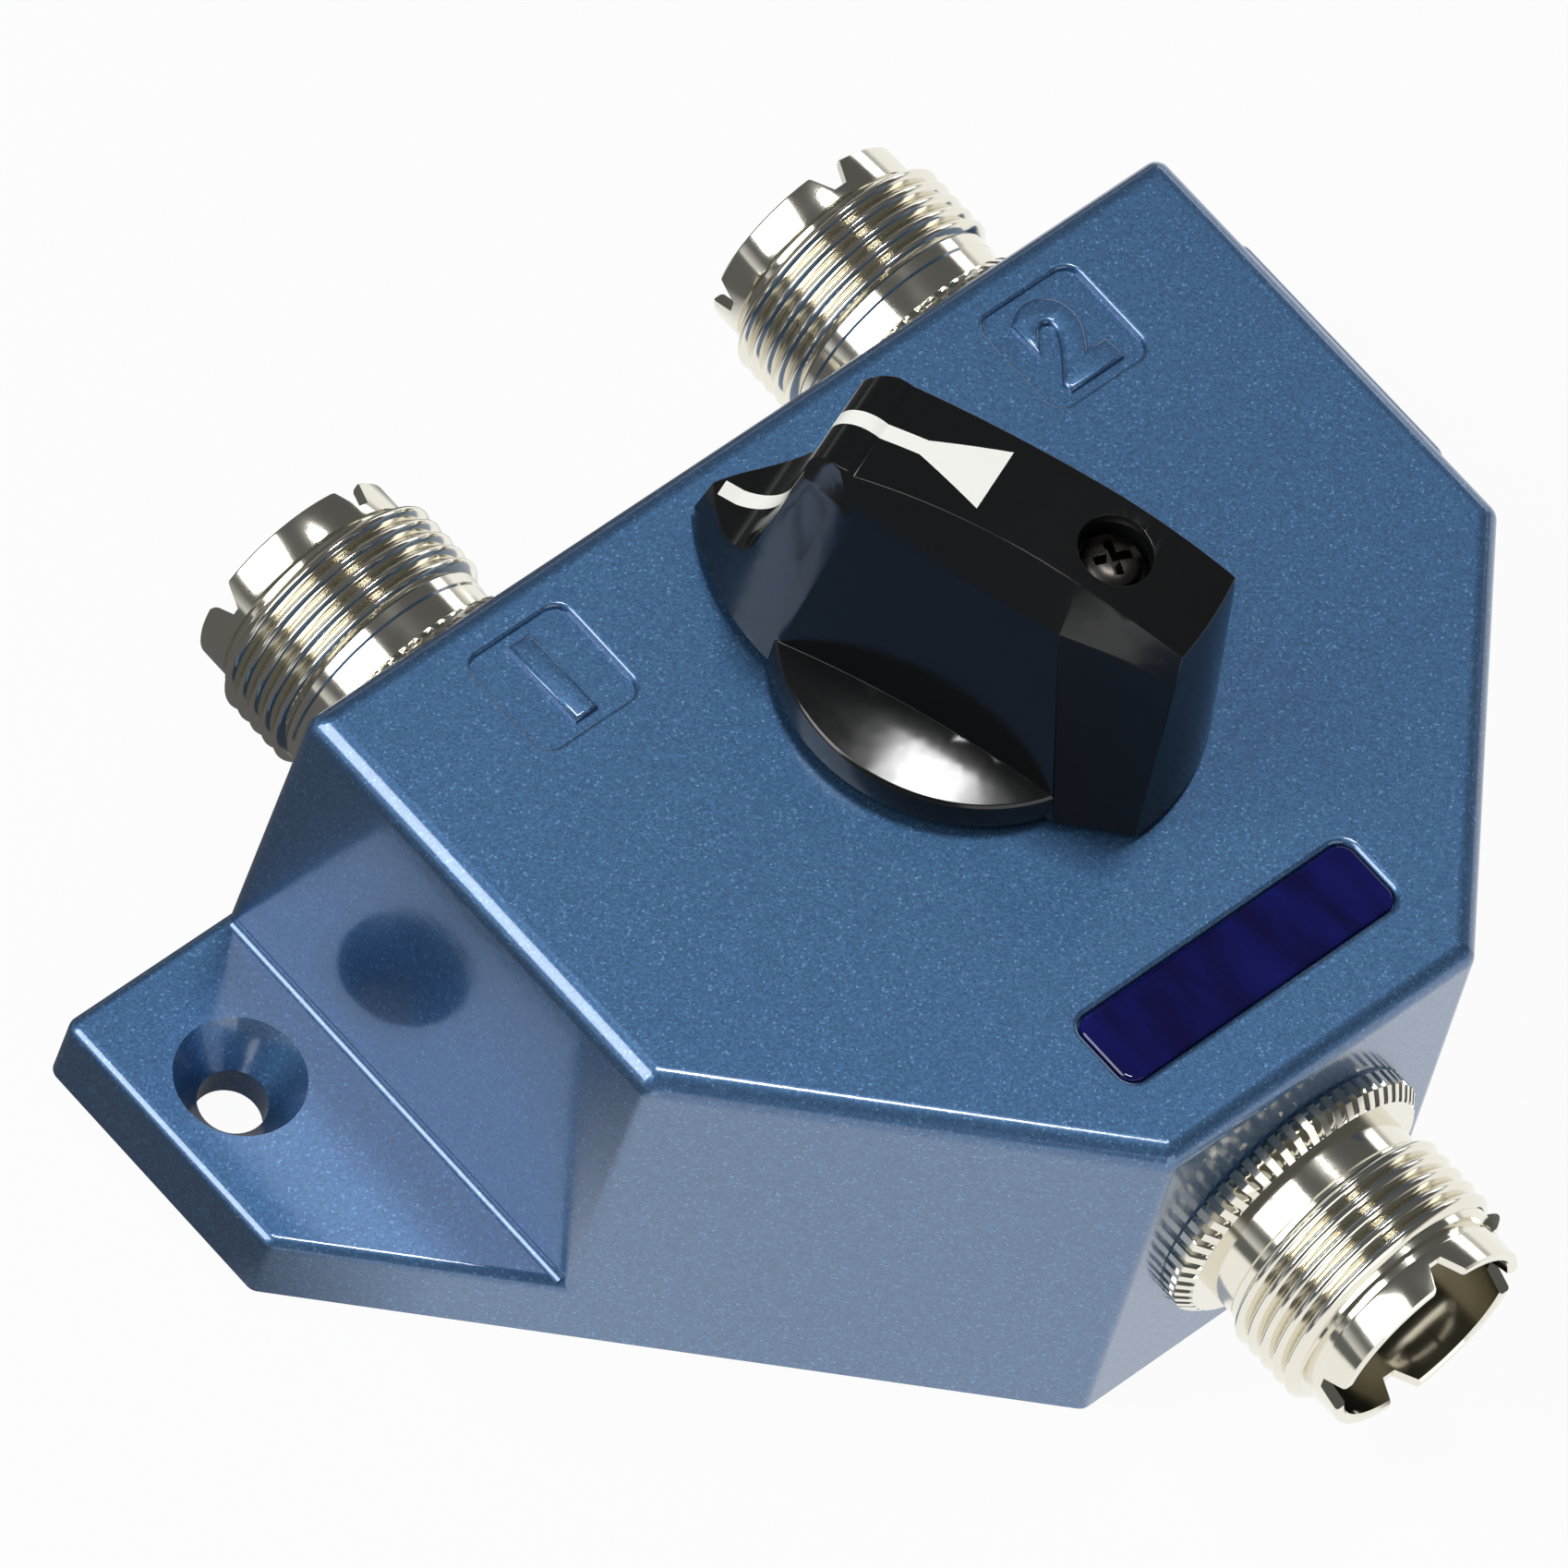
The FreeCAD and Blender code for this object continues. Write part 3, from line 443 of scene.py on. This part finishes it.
def cut_out(obj, cutter):
    """Cut one piece out of another; the cutter goes."""
    alone(obj)
    tool = obj.modifiers.new("cut", "BOOLEAN")
    tool.operation = "DIFFERENCE"
    tool.solver = "EXACT"
    tool.object = cutter
    bpy.ops.object.modifier_apply(modifier="cut")
    bpy.data.objects.remove(cutter)


def tapered_bar(wide, narrow, reach, low, high, turn):
    """Bar across the axis, wide at the top and narrow at the bottom, that cuts slots."""
    bpy.ops.object.select_all(action="DESELECT")
    bpy.ops.mesh.primitive_cube_add(size=MM, location=(0, 0, (low + high) / 2 * MM),
                                    scale=(wide, 2 * reach, high - low))
    obj = bpy.context.object
    bpy.ops.object.transform_apply(location=True, scale=True)
    open_mesh(obj)
    pick_points(obj, lambda p: p.z < (low + high) / 2)
    bpy.ops.transform.resize(value=(narrow / wide, 1, 1), center_override=(0, 0, 0))
    close_mesh()
    return set_down(obj, turn, 0, (0, 0, 0))


def set_down(obj, spin, tip, at):
    """Turn a piece about its axis, tip it over about X and move it; its place ends in its mesh."""
    alone(obj)
    obj.rotation_euler = (0, 0, math.radians(spin))
    bpy.ops.object.transform_apply(rotation=True)
    obj.rotation_euler = (math.radians(tip), 0, 0)
    obj.location = [v * MM for v in at]
    bpy.ops.object.transform_apply(location=True, rotation=True)
    return obj


def merge_pieces(main, *others):
    """Join pieces into the first one."""
    bpy.ops.object.select_all(action="DESELECT")
    for piece in (main,) + others:
        piece.select_set(True)
    bpy.context.view_layer.objects.active = main
    bpy.ops.object.join()
    return main


def own_copy(obj, name):
    """Copy of a piece with its own mesh, shown and free of the marks of a CAD node."""
    twin = obj.copy()
    twin.data = obj.data.copy()
    twin.name = name
    bpy.context.scene.collection.objects.link(twin)
    twin.hide_render = False
    twin.hide_viewport = False
    twin.parent = None
    for key in list(twin.keys()):
        if key.startswith("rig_"):
            del twin[key]
    return twin


def fit(obj, finish, slot, body, *nodes):
    """Give a piece its finish, hang it on the body that carries it and hide the nodes it stands
    for.
    """
    indices = [face.material_index for face in obj.data.polygons]
    obj.data.materials.clear()
    obj.data.materials.append(finish)
    obj.data.polygons.foreach_set("material_index", indices)
    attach(obj, body)
    if nodes:
        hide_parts(*nodes)


# --------------------------------------------------------------------------------------- sockets
def thread_ridge():
    """One ridge of 24 turns to the inch, wound along the socket."""
    turns = (THREAD_HIGH - THREAD_LOW) / PITCH
    low = THREAD_LOW - PITCH / 2
    foot_r = ROOT_OF_THREAD - 0.3        # sunk in the barrel
    depth = CREST_R - ROOT_OF_THREAD
    wave = [(ROOT_OF_THREAD + depth * math.sin(math.pi * k / 10), low + PITCH * k / 10)
            for k in range(11)]
    corners = [(foot_r, low)] + wave + [(foot_r, low + PITCH)]
    obj = draw_section("thread", corners, 0)
    bpy.ops.mesh.delete(type="ONLY_FACE")
    close_mesh()
    alone(obj)
    winding = obj.modifiers.new("winding", "SCREW")
    winding.axis = "Z"
    winding.angle = 2 * math.pi * turns
    winding.screw_offset = PITCH * MM * turns
    winding.steps = 420
    winding.render_steps = 420
    bpy.ops.object.modifier_apply(modifier="winding")
    open_mesh(obj)
    bpy.ops.mesh.select_all(action="SELECT")
    bpy.ops.mesh.fill_holes(sides=0)
    close_mesh()
    tidy_mesh(obj)
    return obj


def knurled_flange():
    """Flange ring with a straight knurl that runs out in its chamfered front edge."""
    columns = 4 * TEETH
    inside = NECK_R - 0.4
    rings = [(inside, 0), (FLANGE_R - 0.06, 0), (FLANGE_R, 0.05), (FLANGE_R, 1.2),
             (FLANGE_R - 0.55, 1.75), (FLANGE_R - 0.75, FLANGE_T), (inside, FLANGE_T)]
    obj = turn_on_lathe("flange", rings, columns, bored=True)
    open_mesh(obj)

    def groove(p):
        column = round(math.atan2(p.y, p.x) / (2 * math.pi) * columns)
        return math.hypot(p.x, p.y) > FLANGE_R - 0.6 and column % 4 == 0

    pick_points(obj, groove)
    pull = 1 - TOOTH_DEPTH / FLANGE_R
    bpy.ops.transform.resize(value=(pull, pull, 1), center_override=(0, 0, 0))
    close_mesh()
    return obj


def threaded_socket():
    """Turned shell: knurled flange, neck, threaded barrel, pilot rim with four slots, open bore."""
    rings = [(5.2, SHELL_BACK), (7.0, SHELL_BACK), (7.0, 0.02), (NECK_R, 0.02), (NECK_R, 3.9),
             (ROOT_OF_THREAD, 4.05), (ROOT_OF_THREAD, 9.9), (6.7, 10.0), (6.7, 10.4),
             (RIM_R - 0.03, 10.5), (RIM_R, 10.6), (RIM_R, RIM_END - 0.12),
             (RIM_R - 0.12, RIM_END), (MOUTH_R + 0.15, RIM_END), (MOUTH_R, RIM_END - 0.15),
             (MOUTH_R, 1.8), (5.2, 1.8)]
    shell = turn_on_lathe("shell", rings, 128, bored=True)
    for turn in (0, 90):
        cut_out(shell, tapered_bar(2.7, 0.9, 12, RIM_END - NOTCH_DEPTH, RIM_END + 0.3, turn))
    # room for two finishes: the outside's and the bore's
    for _ in range(2):
        shell.data.materials.append(None)
    for face in shell.data.polygons:
        middle = face.center / MM
        inside = math.hypot(middle.x, middle.y) < MOUTH_R + 0.03 and middle.z > 1.0
        face.material_index = 1 if inside else 0
    shell = merge_pieces(shell, thread_ridge(), knurled_flange())
    soften(shell, 32)
    return shell


def place_at_port(pattern, name):
    """Copy of a piece drawn about +Z, laid along Y at its port with its slots turned."""
    x, y, side, turn = PORTS[name]
    return set_down(own_copy(pattern, pattern.name + "_" + name), turn, -90 * side,
                    (x, y, SOCKET_Z))


def mount_sockets(finish, bore_finish):
    pattern = threaded_socket()
    pattern.name = "threaded_socket"
    for name in PORTS:
        piece = place_at_port(pattern, name)
        fit(piece, finish, "bright_nickel", "case", "socket_shell_" + name)
        piece.data.materials.append(bore_finish)
    bpy.data.objects.remove(pattern)


def split_contact():
    """Hollow spring contact with four slits, set well back in the mouth."""
    contact = turn_on_lathe("contact", [(CONTACT_R, CONTACT_SHOULDER),
                                        (CONTACT_R, CONTACT_END - 0.2),
                                        (CONTACT_R - 0.2, CONTACT_END),
                                        (CONTACT_BORE_R, CONTACT_END),
                                        (CONTACT_BORE_R, CONTACT_SHOULDER)], 64, bored=True)
    for turn in (45, 135):
        cut_out(contact,
                tapered_bar(0.5, 0.5, 4, CONTACT_END - SLIT_DEPTH, CONTACT_END + 1, turn))
    # the tail's head closes the back of the bore
    head_r = CONTACT_BORE_R + 0.1
    tail = turn_on_lathe("tail", [(TAIL_R, TAIL_BACK), (TAIL_R, CONTACT_SHOULDER + 0.4),
                                  (head_r, CONTACT_SHOULDER + 0.4),
                                  (head_r, CONTACT_SHOULDER + 0.8)], 48)
    contact = merge_pieces(contact, tail)
    soften(contact, 30)
    return contact


def mount_contacts(finish):
    pattern = split_contact()
    pattern.name = "split_contact"
    for name in PORTS:
        fit(place_at_port(pattern, name), finish, "silvered_brass", "case",
            "centre_contact_" + name)
    bpy.data.objects.remove(pattern)


# ------------------------------------------------------------------------------- panels and ears
def raised_numeral(text, x, finish):
    """Cast numeral standing on the floor of a port panel."""
    bpy.ops.object.select_all(action="DESELECT")
    bpy.ops.object.text_add(location=(0, 0, 0))
    obj = bpy.context.object
    obj.name = "port_numeral_" + text
    obj.data.body = text
    obj.data.size = NUMERAL_SIZE * MM
    obj.data.extrude = 0.05 * MM
    obj.data.offset = 0.2 * MM
    obj.data.bevel_depth = 0.3 * MM
    obj.data.bevel_resolution = 3
    bpy.ops.object.convert(target="MESH")
    obj = bpy.context.object
    spots = [point.co.copy() for point in obj.data.vertices]
    middle = [(min(p[k] for p in spots) + max(p[k] for p in spots)) / 2 for k in (0, 1)]
    lowest = min(p.z for p in spots)
    obj.location = (x * MM - middle[0], PANEL_Y * MM - middle[1],
                    (PANEL_FLOOR - NUMERAL_SUNK) * MM - lowest)
    bpy.ops.object.transform_apply(location=True)
    tidy_mesh(obj)
    soften(obj, 50)
    fit(obj, finish, "blue_paint", "case")


def ear_root(side, finish):
    """Small cove of the casting where an ear meets the side wall, let a little into both."""
    sunk = -0.05
    arc = [(ROOT_R * (1 - math.sin(math.radians(a))), ROOT_R * (1 - math.cos(math.radians(a))))
           for a in (0, 22.5, 45, 67.5, 90)]
    corners = [(sunk, sunk), (ROOT_R, sunk)] + arc + [(sunk, ROOT_R)]
    obj = draw_section("ear_root_" + ("b" if side > 0 else "a"),
                       [(WALL_X + x, EAR_H + z) for x, z in corners], ROOT_FRONT)
    bpy.ops.mesh.extrude_region_move(
        TRANSFORM_OT_translate={"value": (0, ROOT_LENGTH * MM, 0)})
    bpy.ops.mesh.select_all(action="SELECT")
    bpy.ops.transform.resize(value=(side, 1, 1), center_override=(0, 0, 0))
    close_mesh()
    tidy_mesh(obj)
    soften(obj, 40)
    fit(obj, finish, "blue_paint", "case")


# ---------------------------------------------------------------------------------- knob, screws
def pointer_knob(finish):
    """The moulded knob with the small radius that its mould leaves on every edge."""
    obj = own_copy(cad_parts["knob"], "pointer_knob")
    tidy_mesh(obj)
    open_mesh(obj)
    bpy.ops.mesh.select_all(action="SELECT")
    bpy.ops.mesh.dissolve_limited(angle_limit=math.radians(0.6))
    close_mesh()
    alone(obj)
    edge = obj.modifiers.new("edge", "BEVEL")
    edge.width = 0.2 * MM
    edge.segments = 3
    edge.limit_method = "ANGLE"
    edge.angle_limit = math.radians(11)  # under the flanks' creases, over the dome's facets
    bpy.ops.object.modifier_apply(modifier="edge")
    soften(obj, 35)
    flats = obj.modifiers.new("flats", "WEIGHTED_NORMAL")
    flats.keep_sharp = True
    flats.weight = 90
    bpy.ops.object.modifier_apply(modifier="flats")
    fit(obj, finish, "black_plastic", "turning", "knob")


def cut_cross(obj, top, wide, deep, turn):
    """Cross recess in a screw's head: two tapered slots."""
    for angle in (turn, turn + 90):
        cut_out(obj, tapered_bar(wide * 0.3, wide * 0.16, wide / 2, top - deep, top + 0.4, angle))


def knob_cross_screw(finish):
    """Pan-head screw with a cross recess, at the bottom of the knob's counterbore."""
    obj = turn_on_lathe("knob_cross_screw",
                        [(1.3, SCREW_POINT), (1.3, SCREW_SEAT), (SCREW_HEAD_R, SCREW_SEAT),
                         (SCREW_HEAD_R, SCREW_SEAT + 0.7),
                         (SCREW_HEAD_R - 0.12, SCREW_SEAT + 1.0),
                         (SCREW_HEAD_R - 0.45, SCREW_SEAT + 1.2),
                         (SCREW_HEAD_R - 1.0, SCREW_TOP)], 64)
    cut_cross(obj, SCREW_TOP, 2.3, 0.8, 68)
    turn = math.radians(90 + POINTER)
    set_down(obj, 0, 0, (SCREW_S * math.cos(turn), SCREW_S * math.sin(turn), 0))
    soften(obj, 30)
    fit(obj, finish, "black_steel", "turning", "knob_screw")


def cover_cross_screws(finish):
    """Four countersunk cross-head screws that hold the bottom cover."""
    pattern = turn_on_lathe("cover_screw",
                            [(1.5, -9.0), (1.5, -COVER_T), (2.7, -0.08), (2.62, 0)], 48)
    cut_cross(pattern, 0, 3.0, 1.0, 0)
    screws = [set_down(own_copy(pattern, "cover_cross_screws"), 20 + 37 * k, 180, (x, y, 0))
              for k, (x, y) in enumerate(COVER_SCREWS)]
    bpy.data.objects.remove(pattern)
    obj = merge_pieces(*screws)
    soften(obj, 30)
    fit(obj, finish, "zinc_screws", "case", "cover_screws")


aim_camera()
light_room()
lay_floor()

nickel = bright_nickel()
enamel = blue_enamel()
zinc = plain_metal("zinc_plated_steel", "#c3c5c8", 0.28, 0.5)
dress(enamel, "housing")
dress(nickel, "socket_nut_a", "socket_nut_b", "socket_nut_common")
dress(badge_resin(), "name_badge")
silvered = plain_metal("silvered_brass", "#e6e2d8", 0.2, 0.4)
dress(silvered, "contact_strip_a", "contact_strip_b", "contact_strip_common")
dress(plain_plastic("white_ptfe", "#e8e6df", 0.4), "socket_insulator_a", "socket_insulator_b",
      "socket_insulator_common")
dress(plain_metal("turned_brass", "#c9a45c", 0.3, 0.4), "shaft_bush", "knob_hub")
dress(plain_metal("ground_steel", "#b9b9ba", 0.3, 0.4), "shaft", "retaining_clip")
dress(plain_plastic("natural_nylon", "#dedbcd", 0.45), "thrust_washer", "rotor")
dress(plain_metal("phosphor_bronze", "#c08a58", 0.3, 0.5), "detent_spring", "ground_arms",
      "rotor_blade")
dress(zinc, "detent_screws", "rotor_screw")
dress(plain_metal("satin_aluminium_sheet", "#b4b7ba", 0.42, 0.6), "bottom_cover")

mount_sockets(nickel, plain_metal("satin_nickel_bore", "#f0eee6", 0.6, 0.5))
mount_contacts(silvered)
raised_numeral("1", -PANEL_X, enamel)
raised_numeral("2", PANEL_X, enamel)
ear_root(-1, enamel)
ear_root(1, enamel)
pointer_knob(black_knob_plastic())
knob_cross_screw(plain_metal("blackened_steel", "#4a4644", 0.3, 0.4))
cover_cross_screws(zinc)
